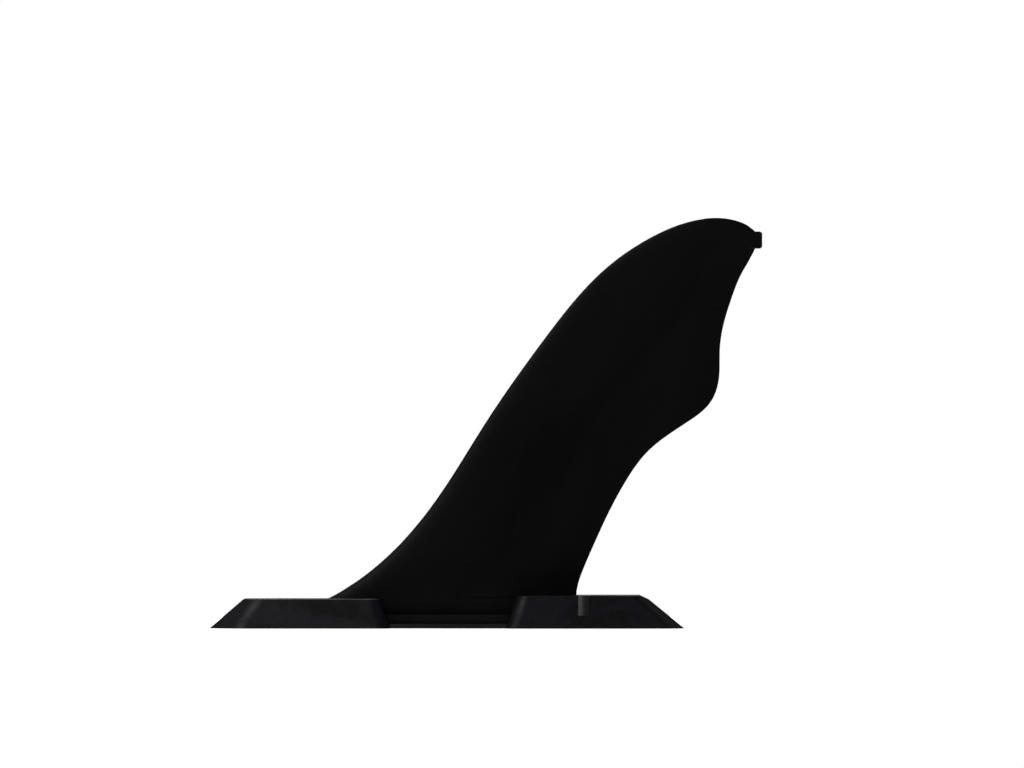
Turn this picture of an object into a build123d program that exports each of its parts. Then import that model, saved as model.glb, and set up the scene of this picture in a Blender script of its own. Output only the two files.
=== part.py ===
"""Paddleboard fin with its slide-in base and lock clip.

Millimetres, +Z up, origin at the centre of the base's underside. The fin's leading edge and the base's nose
point to -X, and the tail to +X. The fin slides into the base from the tail and the clip closes the way out.
"""
from build123d import *
import os
from math import cos, radians, sin, tan

# Base: a front block and a rear block on a thin floor
base_length = 266.0
base_width = 58.0
front_gap_end = 31.7  # from the middle to the front block, at the underside
rear_gap_end = 33.3  # the same to the rear block
floor_thickness = 2.5
floor_margin = 5.0  # floor beside the rail in the gap
front_height = 16.5
rear_height = 18.5
nose_slope = 40.7  # degrees up from the horizontal
tail_slope = 39.3
front_draft = 20.0  # degrees in from the vertical, at the sides and the inner end
rear_draft = 18.0
nose_corner_low = 14.7  # cut-off corners of the nose, at the underside
nose_corner_high = 6.8  # the same at the block's top
tail_corner_low = 8.0
tail_corner_high = 5.0
nose_corner_radius = 12.0
tail_corner_radius = 6.0
gap_corner_radius = 7.0  # upright corners of both blocks beside the gap
end_overrun = 7.0  # how far the plan runs on past the sloped end before it is cut
nose_crest_setback = 0.5  # from the corner of end slope and top to where the crest cut starts
tail_crest_setback = 2.2
crest_share = 0.65  # slope of the crest cut, as a share of the end slope
rim_radius = 1.0

# Foot rail and neck of the fin
nose_wall = 32.0  # solid base ahead of the rail, at the underside
rail_length = 213.0
rail_width = 30.0
rail_height = 5.0
rail_corner = 6.0
neck_thickness = 10.0
neck_nose_flat = 0.1  # what stays flat at the middle of the rounded ends
slide_clearance = 0.3

# Blade: points of its outline seen from the side, as distance along and share of the blade's height
overall_height = 230.0
leading_edge_shape = [
    (-67.0, 0), (-36.5, 0.096), (-7.5, 0.248), (21.5, 0.459), (56.0, 0.689),
    (88.0, 0.862), (118.5, 0.958), (148.0, 1), (163.0, 0.993), (173.0, 0.965),
]
trailing_edge_shape = [
    (73.0, 0), (73.5, 0.033), (78.5, 0.101), (100.0, 0.307), (114.5, 0.396), (139.0, 0.478),
    (150.0, 0.532), (153.0, 0.649), (161.5, 0.813), (173.0, 0.92),
]
root_thickness = 10.0
tip_thickness = 2.6
edge_thickness = 1.2
section_count = 15
belly_place = 0.4  # share of the chord at which a section's control point lies
nub_length = 4.0  # squared nub at the tip
nub_overlap = 3.5
nub_radius = 1.6
nub_bevel = 0.4

# Lock clip
clip_width = 7.4
clip_bridge = 2.4
clip_leg = 2.6
clip_proud = 0.6  # how far the legs stand out of the rear block's sides
clip_foot_height = 7.3
clip_crown = 1.3  # bulge of the legs' outer faces across their width
clip_round = 0.8
catch_radius = 0.8
catch_height = 1.8  # above the legs' lower ends
clip_clearance = 0.15


def rear_half_width(level):
    """Half the rear block's width at a height."""
    return base_width / 2 - level * tan(radians(rear_draft))


def blade_level(share):
    """Height of a point of the blade, from its share of the height above the front block."""
    return front_height + share * (overall_height - front_height)


# Sizes that follow from the ones above
channel_width = rail_width + 2 * slide_clearance
channel_top = floor_thickness + rail_height + slide_clearance
slot_width = neck_thickness + 2 * slide_clearance
rail_front = -base_length / 2 + nose_wall
rail_top = floor_thickness + rail_height
neck_top = front_height
leading_edge_points = [(along, blade_level(share)) for along, share in leading_edge_shape]
trailing_edge_points = [(along, blade_level(share)) for along, share in trailing_edge_shape]
neck_front = leading_edge_shape[0][0]
neck_rear = trailing_edge_shape[0][0]
tip_x, tip_high = leading_edge_points[-1]
tip_low = trailing_edge_points[-1][1]
clip_front = neck_rear + clip_clearance
groove_bottom = clip_foot_height - clip_clearance
seat_depth = (clip_leg - clip_proud) / cos(radians(rear_draft))  # measured level, from the block's side
seat_top = rear_height - clip_bridge
leg_reach = clip_proud / cos(radians(rear_draft))
catch_z = clip_foot_height + catch_height
catch_y = rear_half_width(catch_z) - seat_depth


def base_block(height, gap_end, end_slope, draft, corner_low, corner_high, corner_radius, crest_setback):
    """A block of the base at the tail end, from the underside up."""
    end_low = base_length / 2
    end_high = base_length / 2 - height / tan(radians(end_slope))
    inset = height * tan(radians(draft))
    levels = (
        (0, end_low, gap_end, base_width / 2, corner_low),
        (height, end_high, gap_end + inset, base_width / 2 - inset, corner_high),
    )
    with BuildPart() as solid:
        # Drafted sides and inner end, with cut-off corners that run on past the sloped end
        for level, end, inner, side, corner_cut in levels:
            with BuildSketch(Plane.XY.offset(level)) as plan:
                with BuildLine():
                    Polyline(
                        (end - corner_cut, side),
                        (inner, side),
                        (inner, -side),
                        (end - corner_cut, -side),
                        (end + end_overrun, corner_cut + end_overrun - side),
                        (end + end_overrun, side - corner_cut - end_overrun),
                        close=True,
                    )
                make_face()
                fillet(plan.vertices().sort_by(Axis.X)[2:4], corner_radius)
                fillet(plan.vertices().sort_by(Axis.X)[:2], gap_corner_radius)
        loft(ruled=True)
        fillet(solid.faces().sort_by(Axis.Z)[-1].edges(), rim_radius)

        # Sloped end, with a second, shallower cut along its crest
        end_cuts = (
            (end_low, 0, end_slope),
            (end_high - crest_setback, height, end_slope * crest_share),
        )
        for along, up, slope in end_cuts:
            cut = Plane(
                origin=(along, 0, up), x_dir=(0, 1, 0), z_dir=(sin(radians(slope)), 0, cos(radians(slope)))
            )
            split(bisect_by=cut, keep=Keep.BOTTOM)
    return solid.part


# Base
with BuildPart() as fin_base:
    nose_block = base_block(
        height=front_height,
        gap_end=front_gap_end,
        end_slope=nose_slope,
        draft=front_draft,
        corner_low=nose_corner_low,
        corner_high=nose_corner_high,
        corner_radius=nose_corner_radius,
        crest_setback=nose_crest_setback,
    )
    mirror(nose_block, about=Plane.YZ)
    tail_block = base_block(
        height=rear_height,
        gap_end=rear_gap_end,
        end_slope=tail_slope,
        draft=rear_draft,
        corner_low=tail_corner_low,
        corner_high=tail_corner_high,
        corner_radius=tail_corner_radius,
        crest_setback=tail_crest_setback,
    )
    add(tail_block)
    with BuildSketch(Plane.XY):
        with Locations((-front_gap_end - floor_margin, 0)):
            Rectangle(
                front_gap_end + rear_gap_end + 2 * floor_margin,
                rail_width + 2 * floor_margin,
                align=(Align.MIN, Align.CENTER),
            )
    extrude(amount=floor_thickness)

    # Channel for the rail, open at the tail, with rounded corners at its blind end
    with BuildSketch(Plane.XY.offset(floor_thickness)):
        with Locations((rail_front, 0)):
            Rectangle(base_length, channel_width, align=(Align.MIN, Align.CENTER))
        fillet(vertices().group_by(Axis.X)[0], rail_corner)
    extrude(amount=channel_top - floor_thickness, mode=Mode.SUBTRACT)

    # Slot for the neck, with a full round at its blind end
    with BuildSketch(Plane.XY.offset(rail_top)):
        with Locations((neck_front - slide_clearance, 0)):
            Rectangle(base_length, slot_width, align=(Align.MIN, Align.CENTER))
        fillet(vertices().group_by(Axis.X)[0], slot_width / 2 - neck_nose_flat)
    extrude(amount=rear_height, mode=Mode.SUBTRACT)

    # Groove across the rear block for the clip
    with BuildSketch(Plane.YZ.offset(clip_front - clip_clearance)):
        with Locations((0, groove_bottom)):
            Rectangle(base_width, rear_height, align=(Align.CENTER, Align.MIN))
        with BuildLine():
            Polyline(
                (rear_half_width(0) - seat_depth, 0),
                (rear_half_width(seat_top) - seat_depth, seat_top),
                (seat_depth - rear_half_width(seat_top), seat_top),
                (seat_depth - rear_half_width(0), 0),
                close=True,
            )
        make_face(mode=Mode.SUBTRACT)
        with Locations((catch_y, catch_z), (-catch_y, catch_z)):
            Circle(catch_radius + clip_clearance)
    extrude(amount=clip_width + 2 * clip_clearance, mode=Mode.SUBTRACT)

fin_base.part.label = "fin_base"

# Fin
with BuildLine(Plane.XZ) as leading_edge:
    Spline(*leading_edge_points)

with BuildLine(Plane.XZ) as trailing_edge:
    Spline(*trailing_edge_points)


def blade_section(share):
    """Foil section at a share of the way from the root (0) to the tip (1), across the blade's sweep."""
    nose = leading_edge.line @ share
    tail = trailing_edge.line @ share
    chord = (tail - nose).length
    thickness = root_thickness + (tip_thickness - root_thickness) * share
    belly = thickness * 2 / 3
    section_plane = Plane(origin=nose, x_dir=tail - nose, z_dir=(tail - nose).cross(Vector(0, 1, 0)))
    with BuildSketch(section_plane) as section:
        with BuildLine():
            side = Bezier(
                (0, 0), (0, belly), (chord * belly_place, belly), (chord, edge_thickness / 2)
            )
            mirror(side, about=Plane.XZ)
            Line((chord, edge_thickness / 2), (chord, -edge_thickness / 2))
        make_face()
    return section.sketch


with BuildPart() as tip_nub:
    with BuildSketch(Plane.XZ) as nub_outline:
        with Locations((tip_x - nub_overlap, tip_low)):
            Rectangle(nub_overlap + nub_length, tip_high - tip_low, align=(Align.MIN, Align.MIN))
        fillet(nub_outline.vertices().group_by(Axis.X)[-1], nub_radius)
    extrude(amount=tip_thickness / 2, both=True)
    chamfer(tip_nub.faces().filter_by(Axis.Y).edges(), nub_bevel)

with BuildPart() as fin:
    with BuildSketch(Plane.XY.offset(floor_thickness)):
        with Locations((rail_front, 0)):
            Rectangle(rail_length, rail_width, align=(Align.MIN, Align.CENTER))
    extrude(amount=rail_height)
    fillet(fin.edges().filter_by(Axis.Z).group_by(Axis.X)[0], rail_corner)
    with BuildSketch(Plane.XY.offset(rail_top)):
        with Locations((neck_front, 0)):
            Rectangle(neck_rear - neck_front, neck_thickness, align=(Align.MIN, Align.CENTER))
        fillet(vertices().group_by(Axis.X)[0], neck_thickness / 2 - neck_nose_flat)
    extrude(amount=neck_top - rail_top)
    loft([blade_section(station / section_count) for station in range(section_count + 1)])
    add(tip_nub.part)

fin.part.label = "fin"

# Lock clip
with BuildPart() as lock_clip:
    with BuildSketch(Plane.YZ.offset(clip_front)):
        with BuildLine():
            Polyline(
                (rear_half_width(clip_foot_height) + leg_reach, clip_foot_height),
                (rear_half_width(rear_height) + leg_reach, rear_height),
                (-rear_half_width(rear_height) - leg_reach, rear_height),
                (-rear_half_width(clip_foot_height) - leg_reach, clip_foot_height),
                close=True,
            )
        make_face()
        with BuildLine():
            Polyline(
                (rear_half_width(0) - seat_depth, 0),
                (rear_half_width(seat_top) - seat_depth, seat_top),
                (seat_depth - rear_half_width(seat_top), seat_top),
                (seat_depth - rear_half_width(0), 0),
                close=True,
            )
        make_face(mode=Mode.SUBTRACT)
        with Locations((0, rail_top + slide_clearance)):
            Rectangle(neck_thickness, seat_top - rail_top, align=(Align.CENTER, Align.MIN))
        with Locations((catch_y, catch_z), (-catch_y, catch_z)):
            Circle(catch_radius)
    extrude(amount=clip_width)
    top_corners = lock_clip.edges().filter_by(Axis.X).group_by(Axis.Z)[-1]
    fillet(top_corners, clip_round)

    # Crowned outer face of each leg, which leans in with the block's side
    for side in (1, -1):
        crest = side * (rear_half_width(0) + leg_reach)
        with BuildSketch(Plane.XY):
            with BuildLine():
                ThreePointArc(
                    (clip_front, crest - side * clip_crown),
                    (clip_front + clip_width / 2, crest),
                    (clip_front + clip_width, crest - side * clip_crown),
                )
                Polyline(
                    (clip_front + clip_width, crest - side * clip_crown),
                    (clip_front + clip_width, -side * base_width),
                    (clip_front, -side * base_width),
                    (clip_front, crest - side * clip_crown),
                )
            make_face()
        lean = Vector(0, -side * sin(radians(rear_draft)), cos(radians(rear_draft)))
        extrude(amount=base_width, dir=lean, mode=Mode.INTERSECT)

lock_clip.part.label = "lock_clip"

os.makedirs("parts", exist_ok=True)
export_step(fin_base.part, "parts/fin_base.step")
export_step(fin.part, "parts/fin.step")
export_step(lock_clip.part, "parts/lock_clip.step")
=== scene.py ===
"""Paddleboard fin in its slide-in base, dressed for its render. Metres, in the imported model's frame."""
import math

import bpy
import numpy as np
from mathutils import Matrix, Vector


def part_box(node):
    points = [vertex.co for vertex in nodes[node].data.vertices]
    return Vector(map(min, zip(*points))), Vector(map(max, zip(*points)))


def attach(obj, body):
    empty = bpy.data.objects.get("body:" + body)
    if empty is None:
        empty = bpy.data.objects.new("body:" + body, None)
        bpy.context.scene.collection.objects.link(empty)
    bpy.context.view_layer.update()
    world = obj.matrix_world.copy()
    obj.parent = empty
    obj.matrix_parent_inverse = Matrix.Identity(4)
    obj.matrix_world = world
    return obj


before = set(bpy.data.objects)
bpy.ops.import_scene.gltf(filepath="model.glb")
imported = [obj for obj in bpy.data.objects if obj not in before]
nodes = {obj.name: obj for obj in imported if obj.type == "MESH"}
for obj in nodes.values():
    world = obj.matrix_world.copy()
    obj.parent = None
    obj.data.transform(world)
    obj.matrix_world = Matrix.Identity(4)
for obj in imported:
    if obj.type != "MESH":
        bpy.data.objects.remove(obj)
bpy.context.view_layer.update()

# Camera
# The photograph is taken level and side-on from far away, so upright and level edges stay parallel.
# Its scale is known from the height of the fin, and its middle pixel gives the point looked at.
PIXEL = 0.0005612  # metres to the photograph's pixel, at the blade
IMAGE_WIDTH, IMAGE_HEIGHT = 1024, 768
BASE_MIDDLE_PIXEL = 446.8  # across, where x is 0
UNDERSIDE_PIXEL = 628.0  # down, where z is 0
CAMERA_DISTANCE = 10.0
SENSOR_WIDTH = 36.0  # millimetres, as the lens is

middle = Vector(
    ((IMAGE_WIDTH / 2 - BASE_MIDDLE_PIXEL) * PIXEL, 0, (UNDERSIDE_PIXEL - IMAGE_HEIGHT / 2) * PIXEL)
)
camera_data = bpy.data.cameras.new("camera")
camera_data.sensor_width = SENSOR_WIDTH
camera_data.lens = SENSOR_WIDTH * CAMERA_DISTANCE / (IMAGE_WIDTH * PIXEL)
camera_data.clip_end = 10 * CAMERA_DISTANCE
camera = bpy.data.objects.new("camera", camera_data)
camera.location = middle - Vector((0, CAMERA_DISTANCE, 0))
camera.rotation_euler = (math.radians(90), 0, 0)
bpy.context.scene.collection.objects.link(camera)
bpy.context.scene.camera = camera
bpy.context.scene.view_settings.view_transform = "Standard"

# Fin
# One moulding in hard nylon: blade, neck and foot rail. It comes from a textured steel mould, so it is near-black and
# satin, with a fine grain, flow lines along the sweep and thin rubbed edges.


def linear(hex_colour):
    """An sRGB hex value as linear RGBA."""
    srgb = [int(hex_colour[i : i + 2], 16) / 255 for i in (1, 3, 5)]
    return [c / 12.92 if c <= 0.04045 else ((c + 0.055) / 1.055) ** 2.4 for c in srgb] + [1.0]


def add_node(tree, kind, links=(), **settings):
    """Adds a node; settings are attributes or input values, links are (input, output socket) pairs."""
    node = tree.nodes.new(kind)
    for name, value in settings.items():
        if hasattr(node, name):
            setattr(node, name, value)
        else:
            node.inputs[name.replace("_", " ")].default_value = value
    for name, socket in links:
        tree.links.new(node.inputs[name], socket)
    return node


def new_material(name, **settings):
    """An empty node material with a principled surface; returns the material, its tree and the surface."""
    material = bpy.data.materials.new(name)
    material.use_nodes = True
    tree = material.node_tree
    tree.nodes.clear()
    surface = add_node(tree, "ShaderNodeBsdfPrincipled", **settings)
    add_node(tree, "ShaderNodeOutputMaterial", links=[("Surface", surface.outputs[0])])
    return material, tree, surface


def assign(node_name, material):
    """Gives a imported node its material."""
    mesh = nodes[node_name].data
    mesh.materials.clear()
    mesh.materials.append(material)


def spread(tree, value, low, high, to_low=0.0, to_high=1.0):
    """Maps a value from one range to another, and holds it at the ends."""
    return add_node(
        tree,
        "ShaderNodeMapRange",
        links=[("Value", value)],
        From_Min=low,
        From_Max=high,
        To_Min=to_low,
        To_Max=to_high,
    ).outputs[0]


def maths(tree, operation, *values):
    """The result of a Math node; each value is a number or a socket."""
    node = add_node(tree, "ShaderNodeMath", operation=operation)
    for entry, value in zip(node.inputs, values):
        if isinstance(value, (int, float)):
            entry.default_value = value
        else:
            tree.links.new(entry, value)
    return node.outputs[0]


def noise(tree, place, size, detail, roughness, distortion=0.0):
    """Smooth noise from 0 to 1 whose features are about size metres across."""
    return add_node(
        tree,
        "ShaderNodeTexNoise",
        links=[("Vector", place)],
        Scale=1 / size,
        Detail=detail,
        Roughness=roughness,
        Distortion=distortion,
    ).outputs[0]


def drawn_out_place(tree, place, turns, times):
    """Coordinates in which a pattern is turned about the axes and drawn out along its own x axis."""
    return add_node(
        tree,
        "ShaderNodeMapping",
        links=[("Vector", place)],
        vector_type="TEXTURE",
        Rotation=turns,
        Scale=(times, 1, 1),
    ).outputs[0]


def blend_colours(tree, share, first, second):
    """One colour at share 0 and the other at share 1; each is a hex value or a socket."""
    mix = add_node(tree, "ShaderNodeMixRGB", links=[("Fac", share)])
    for name, colour in (("Color1", first), ("Color2", second)):
        if isinstance(colour, str):
            mix.inputs[name].default_value = linear(colour)
        else:
            tree.links.new(mix.inputs[name], colour)
    return mix.outputs[0]


# What all the moulded skins share, in metres
STREAK_SHARE = 1 / 8  # of the clouds' size
RUBBED_REACH = 0.0006  # how near an edge its rounding shows as rubbed
RUBBED_BREAKS = 0.003
HAIR_SIZE = 0.0012  # of the noise, whose highest values alone make hairlines about 0.15 mm wide
HAIR_LENGTH = 60  # in widths
HAIR_LEAN = (0.2, 0.35)  # radians about x, and about y off the flow
HAIR_DULLNESS = 0.12  # added to the roughness
UNEVEN_SIZE = 0.006
UNEVEN_DEPTH = 0.00015
GRAIN_SIZE = 0.0006


def moulded_plastic(name, dark, light, rubbed, patch, drawn_out, turn, smooth, rough, shine, grain_depth):
    """Black moulded plastic. Sizes are in metres, in the piece's own coordinates.

    patch is the size of the clouds in the colour, and drawn_out is how much longer they are along the way that the melt
    ran, which is turned by turn about the y axis. smooth and rough are the ends of the roughness.
    """
    material, tree, surface = new_material(name, Specular_IOR_Level=shine)
    place = add_node(tree, "ShaderNodeTexCoord").outputs["Object"]
    flow = drawn_out_place(tree, place, (0, turn, 0), drawn_out)

    # Clouds where the melt cooled faster, and finer streaks along its flow
    clouds = noise(tree, flow, size=patch, detail=3, roughness=0.55, distortion=0.5)
    streaks = noise(tree, flow, size=patch * STREAK_SHARE, detail=4, roughness=0.6)
    tone = blend_colours(tree, spread(tree, clouds, low=0.38, high=0.62), dark, light)
    tone = blend_colours(tree, spread(tree, streaks, low=0.56, high=0.72, to_high=0.5), tone, light)

    # Rubbed edges, where the rounded surface turns away from the flat one, broken up every 3 mm or so
    turned = add_node(tree, "ShaderNodeBevel", samples=6, Radius=RUBBED_REACH).outputs[0]
    flat = add_node(tree, "ShaderNodeNewGeometry").outputs["Normal"]
    likeness = add_node(tree, "ShaderNodeVectorMath", operation="DOT_PRODUCT", links=[(0, turned), (1, flat)])
    edges = spread(tree, likeness.outputs["Value"], low=0.97, high=0.8)
    breaks = noise(tree, place, size=RUBBED_BREAKS, detail=3, roughness=0.6)
    breaks = spread(tree, breaks, low=0.35, high=0.65, to_low=0.2)
    tone = blend_colours(tree, maths(tree, "MULTIPLY", edges, breaks), tone, rubbed)
    tree.links.new(surface.inputs["Base Color"], tone)

    # Duller hairlines from handling, on a roughness that follows the clouds
    hair_turns = (HAIR_LEAN[0], turn + HAIR_LEAN[1], 0)
    hairs = drawn_out_place(tree, place, hair_turns, HAIR_LENGTH)
    hairs = spread(tree, noise(tree, hairs, size=HAIR_SIZE, detail=2, roughness=0.5), low=0.7, high=0.78)
    dullness = spread(tree, clouds, low=0.35, high=0.65, to_low=rough, to_high=smooth)
    dullness = maths(tree, "MULTIPLY_ADD", hairs, HAIR_DULLNESS, dullness)
    tree.links.new(surface.inputs["Roughness"], dullness)

    # Mould grain with finer grain in it, on a slow unevenness where the wall shrank
    unevenness = noise(tree, place, size=UNEVEN_SIZE, detail=1, roughness=0.4)
    slow = add_node(
        tree, "ShaderNodeBump", links=[("Height", unevenness)], Strength=1.0, Distance=UNEVEN_DEPTH
    ).outputs[0]
    grain = noise(tree, place, size=GRAIN_SIZE, detail=2, roughness=0.6)
    fine = add_node(
        tree, "ShaderNodeBump", links=[("Height", grain), ("Normal", slow)], Strength=1.0, Distance=grain_depth
    ).outputs[0]
    tree.links.new(surface.inputs["Normal"], fine)
    return material


satin_nylon = moulded_plastic(
    "satin_black_moulded_nylon",
    dark="#040303",
    light="#0a0909",
    rubbed="#121212",
    patch=0.05,
    drawn_out=4.0,
    turn=math.radians(-55),  # along the blade's sweep
    smooth=0.48,
    rough=0.58,
    shine=0.14,
    grain_depth=0.00003,
)
assign("fin", satin_nylon)

# Parting line
# The two halves of the fin's mould meet in its middle plane and leave a fine bead of plastic round the blade's edge.
# It is scraped off round the tip and its nub, and it starts just above the base.
BEAD_HALF_WIDTH = 0.0002
BEAD_HEIGHT = 0.00018
BEAD_ROOT = 0.0004  # how deep its foot is sunk in the edge
BEAD_FADE = 0.0027  # the length in which a worn end rises by the bead's height
BEAD_ARC_POINTS = 9
BEAD_START = 0.0005  # above the base
BEAD_LEVELS = 160
NUB_REACH = 0.005  # how far the squared nub and its foot reach forward from the fin's rearmost point
OFF_PLANE = 1.3e-7  # a shift of the mesh across the middle plane, so that none of its corners is on it


def middle_outline(mesh, levels):
    """The least and greatest x of a mesh's cut by the middle plane, at each level.

    A triangle's edge crosses the plane where its two ends' y differ in sign, at the point that divides it in the ratio
    of those y values. The two crossings of a triangle make one segment of the cut, and a segment crosses a level in the
    same way, by the ratio of its ends' heights above the level.
    """
    points = np.empty(len(mesh.vertices) * 3)
    mesh.vertices.foreach_get("co", points)
    mesh.calc_loop_triangles()
    corners = np.empty(len(mesh.loop_triangles) * 3, dtype=int)
    mesh.loop_triangles.foreach_get("vertices", corners)
    triangles = points.reshape(-1, 3)[corners.reshape(-1, 3)] + (0, OFF_PLANE, 0)
    starts, ends = triangles, np.roll(triangles, -1, axis=1)
    crosses = starts[:, :, 1] * ends[:, :, 1] < 0
    share = starts[:, :, 1:2] / np.where(crosses, starts[:, :, 1] - ends[:, :, 1], 1)[:, :, None]
    cuts = (starts + share * (ends - starts))[:, :, (0, 2)]
    cut = crosses.sum(axis=1) == 2
    first = np.argmax(crosses[cut], axis=1)
    last = 2 - np.argmax(crosses[cut][:, ::-1], axis=1)
    rows = np.arange(cut.sum())
    a, b = cuts[cut][rows, first], cuts[cut][rows, last]
    above_a, above_b = a[:, 1, None] - levels, b[:, 1, None] - levels
    reached = above_a * above_b < 0
    part = above_a / np.where(reached, above_a - above_b, 1)
    x = a[:, 0, None] + part * (b[:, 0, None] - a[:, 0, None])
    return np.where(reached, x, np.inf).min(axis=0), np.where(reached, x, -np.inf).max(axis=0)


def bead(name, path, heights):
    """Adds a ridge along a path in the middle plane.

    Its section is half an ellipse, half the width times the cosine of an angle across and the height times its sine
    outwards, closed by two points at its foot. Outwards is the path's direction turned a quarter turn to the left.
    """
    along = np.gradient(path, axis=0)
    along /= np.linalg.norm(along, axis=1)[:, None]
    outwards = np.stack([-along[:, 1], along[:, 0]], axis=1)
    angle = np.linspace(0, math.pi, BEAD_ARC_POINTS)
    across = np.concatenate([[BEAD_HALF_WIDTH], BEAD_HALF_WIDTH * np.cos(angle), [-BEAD_HALF_WIDTH]])
    out = np.concatenate([[0], np.sin(angle), [0]])[None, :] * heights[:, None]
    out[:, (0, -1)] = -BEAD_ROOT
    rings = np.stack(
        [
            path[:, 0, None] + out * outwards[:, 0, None],
            np.broadcast_to(across, out.shape),
            path[:, 1, None] + out * outwards[:, 1, None],
        ],
        axis=2,
    )
    steps, points = out.shape
    index = np.arange(steps * points).reshape(steps, points)
    low, high = index[:-1], index[1:]
    faces = np.stack([low, np.roll(low, -1, axis=1), np.roll(high, -1, axis=1), high], axis=2).reshape(-1, 4)
    ends = [index[0, ::-1].tolist(), index[-1].tolist()]
    mesh = bpy.data.meshes.new(name)
    mesh.from_pydata(rings.reshape(-1, 3).tolist(), [], faces.tolist() + ends)
    mesh.polygons.foreach_set("use_smooth", np.ones(len(mesh.polygons), dtype=bool))
    piece = bpy.data.objects.new(name, mesh)
    bpy.context.scene.collection.objects.link(piece)
    mesh.materials.append(satin_nylon)
    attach(piece, "root")


def worn_height(*distances):
    """The bead's height from its distances to worn places.

    It is half the height below the edge, so out of sight, where the least distance is 0, rises by the height with each
    fade length, and stays at the full height from one and a half of them on.
    """
    return BEAD_HEIGHT * np.clip(np.min(distances, axis=0) / BEAD_FADE - 0.5, -0.5, 1)


fin_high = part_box("fin")[1]
bead_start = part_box("fin_base")[1][2] + BEAD_START
nub_start = fin_high[0] - NUB_REACH

# Levels that close up towards the crest, where the edge runs level
rise = np.sin(np.linspace(0, math.pi / 2, BEAD_LEVELS + 1))[:-1]
levels = bead_start + (fin_high[2] - bead_start) * rise
lead, trail = middle_outline(nodes["fin"].data, levels)
lead, trail = np.stack([lead, levels], axis=1), np.stack([trail, levels], axis=1)
nub_levels = levels[trail[:, 0] > nub_start]

# The front bead goes up the leading edge and over the crest to the nub, the rear one down from the nub to the base
front_path = np.concatenate([lead, trail[levels > nub_levels.max()][::-1]])
bead(
    "fin_front_parting_line",
    front_path,
    worn_height(front_path[:, 1] - bead_start, fin_high[2] - front_path[:, 1], nub_start - front_path[:, 0]),
)
rear_path = trail[levels < nub_levels.min()][::-1]
bead(
    "fin_rear_parting_line",
    rear_path,
    worn_height(rear_path[:, 1] - bead_start, rear_path[0, 1] - rear_path[:, 1]),
)

# Base
# One moulding in black plastic that is glued to the board: a front block and a taller rear block on a thin floor, with
# a T-shaped channel for the fin's rail. Its skin is cloudier than the fin's, with a faint purple cast.
satin_base = moulded_plastic(
    "satin_black_moulded_base",
    dark="#020103",
    light="#120f16",
    rubbed="#1a181d",
    patch=0.013,
    drawn_out=1.6,
    turn=0.0,
    smooth=0.38,
    rough=0.6,
    shine=0.24,
    grain_depth=0.00005,
)
assign("fin_base", satin_base)

# Clip
# A small springy clip in smoother black plastic, pressed down across the rear block to lock the fin. Its legs are
# crowned and stand a little proud, so they catch the light as one bright upright strip.
smooth_clip = moulded_plastic(
    "smooth_black_moulded_clip",
    dark="#141314",
    light="#1a191a",
    rubbed="#232223",
    patch=0.006,
    drawn_out=2.0,
    turn=math.radians(90),
    smooth=0.46,
    rough=0.52,
    shine=0.65,
    grain_depth=0.00001,
)
assign("lock_clip", smooth_clip)

# Studio
# A small pale floor in a white surround, lit by a soft lamp from the upper left in front of the fin and a wider one
# from behind. The floor ends close in front of the fin, and dark screens stand there, so that the upright faces mirror
# a dim room as in the photograph.
FLOOR_LEFT, FLOOR_RIGHT = -0.4, 0.6
FLOOR_NEAR, FLOOR_FAR = -0.05, 0.5
FLOOR_LIFT = 0.35  # white added close to the fin, little enough to keep its shadow
FLOOR_LIFT_RISES = (0.15, 0.3)  # metres from the origin between which it rises to full white

floor_corners = [
    (FLOOR_LEFT, FLOOR_NEAR, 0),
    (FLOOR_RIGHT, FLOOR_NEAR, 0),
    (FLOOR_RIGHT, FLOOR_FAR, 0),
    (FLOOR_LEFT, FLOOR_FAR, 0),
]
floor_mesh = bpy.data.meshes.new("floor")
floor_mesh.from_pydata(floor_corners, [], [(0, 1, 2, 3)])
floor = bpy.data.objects.new("floor", floor_mesh)
bpy.context.scene.collection.objects.link(floor)
pale, tree, surface = new_material("pale_matte_floor", Roughness=0.9, Specular_IOR_Level=0.0)
surface.inputs["Base Color"].default_value = linear("#f2f2f2")
floor_mesh.materials.append(pale)


def kinds_of_ray(tree):
    """Sockets that are 1 for rays from the camera, for those off gloss or through glass, and for those off matt."""
    rays = add_node(tree, "ShaderNodeLightPath").outputs
    mirrored = maths(tree, "MAXIMUM", rays["Is Glossy Ray"], rays["Is Transmission Ray"])
    return rays["Is Camera Ray"], mirrored, rays["Is Diffuse Ray"]


seen, mirrored, _ = kinds_of_ray(tree)
floor_place = add_node(tree, "ShaderNodeTexCoord").outputs["Object"]
away = add_node(tree, "ShaderNodeVectorMath", operation="LENGTH", links=[(0, floor_place)]).outputs["Value"]
lift = spread(tree, away, *FLOOR_LIFT_RISES, to_low=FLOOR_LIFT)
lift = maths(tree, "MULTIPLY", maths(tree, "MAXIMUM", seen, mirrored), lift)
glow = add_node(tree, "ShaderNodeEmission", links=[("Strength", lift)])
both = add_node(tree, "ShaderNodeAddShader", links=[(0, surface.outputs[0]), (1, glow.outputs[0])])
tree.links.new(tree.nodes["Material Output"].inputs["Surface"], both.outputs[0])

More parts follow.
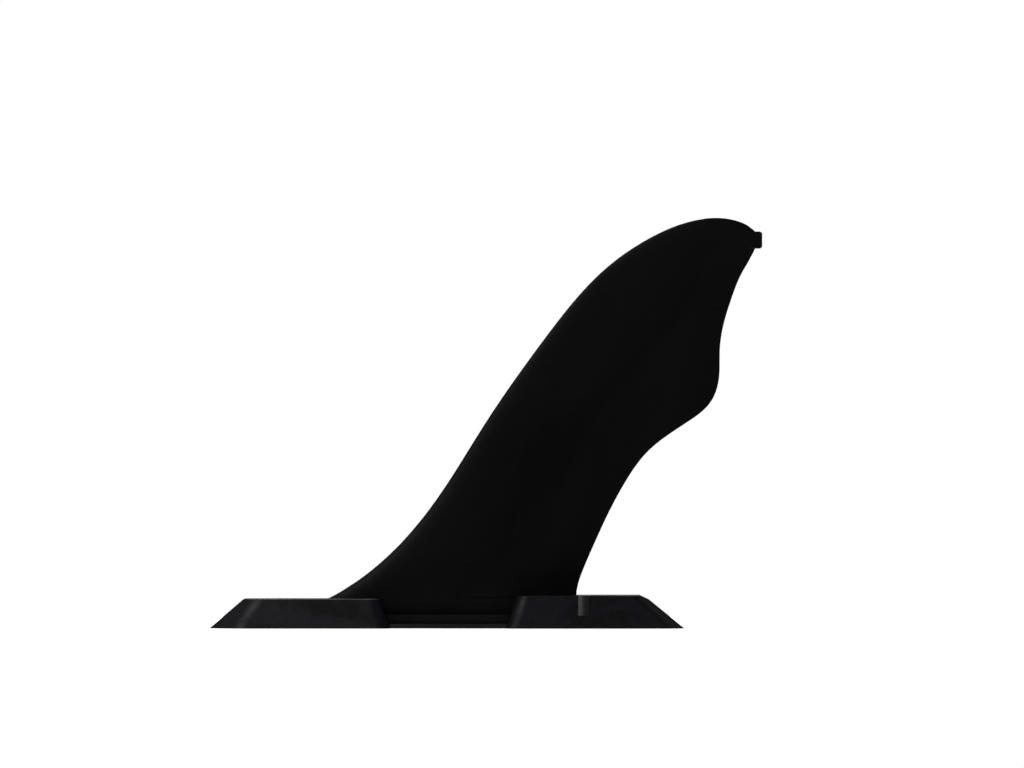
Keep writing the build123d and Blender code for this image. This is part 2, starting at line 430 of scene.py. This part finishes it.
# The surround is white to the camera, and an even fill to matt surfaces. Gloss mirrors the same white straight behind
# the fin, a grey wall round that, a light table below, and dark screens everywhere else.
FILL = 0.7
WALL = 0.35
TABLE = 0.9
SCREENS = 0.02
BACKDROP_RISES = (0.75, 0.95)  # between these values of the direction's y
WALL_RISES = (0.5, 0.75)
TABLE_RISES = (-0.35, -0.7)  # between these values of its z

surround = bpy.data.worlds.new("surround")
bpy.context.scene.world = surround
surround.cycles.sampling_method = "NONE"  # its light depends on the kind of ray, so the rays alone find it
surround.use_nodes = True
tree = surround.node_tree
tree.nodes.clear()
seen, mirrored, matt = kinds_of_ray(tree)
generated = add_node(tree, "ShaderNodeTexCoord").outputs["Generated"]
direction = add_node(tree, "ShaderNodeSeparateXYZ", links=[(0, generated)]).outputs
backdrop = spread(tree, direction["Y"], *BACKDROP_RISES)
wall = spread(tree, direction["Y"], *WALL_RISES, SCREENS, WALL)
table = spread(tree, direction["Z"], *TABLE_RISES, SCREENS, TABLE)
around = maths(tree, "MAXIMUM", backdrop, maths(tree, "MAXIMUM", wall, table))
shown = maths(tree, "MAXIMUM", seen, maths(tree, "MULTIPLY", mirrored, around))
strength = maths(tree, "MAXIMUM", shown, maths(tree, "MULTIPLY_ADD", matt, FILL - SCREENS, SCREENS))
sky = add_node(tree, "ShaderNodeBackground", links=[("Strength", strength)], Color=(1, 1, 1, 1))
add_node(tree, "ShaderNodeOutputWorld", links=[("Surface", sky.outputs[0])])

LIT_PLACE = (0.02, 0, 0.08)  # inside the blade's lower half


def softbox(name, place, side, strength):
    """Adds a square lamp that faces the fin. Its strength is its brightness, which its size leaves as it is."""
    lamp = bpy.data.lights.new(name, "AREA")
    lamp.shape = "RECTANGLE"
    lamp.size = lamp.size_y = side
    lamp.energy = strength * math.pi * side * side
    box = bpy.data.objects.new(name, lamp)
    box.location = place
    aim = Vector(LIT_PLACE) - Vector(place)
    box.rotation_euler = aim.to_track_quat("-Z", "Y").to_euler()
    bpy.context.scene.collection.objects.link(box)


softbox("key_softbox", place=(-0.38, -0.355, 0.575), side=0.44, strength=3.5)
softbox("back_softbox", place=(-0.15, 0.8, 1.4), side=0.9, strength=3.0)

bpy.context.view_layer.update()
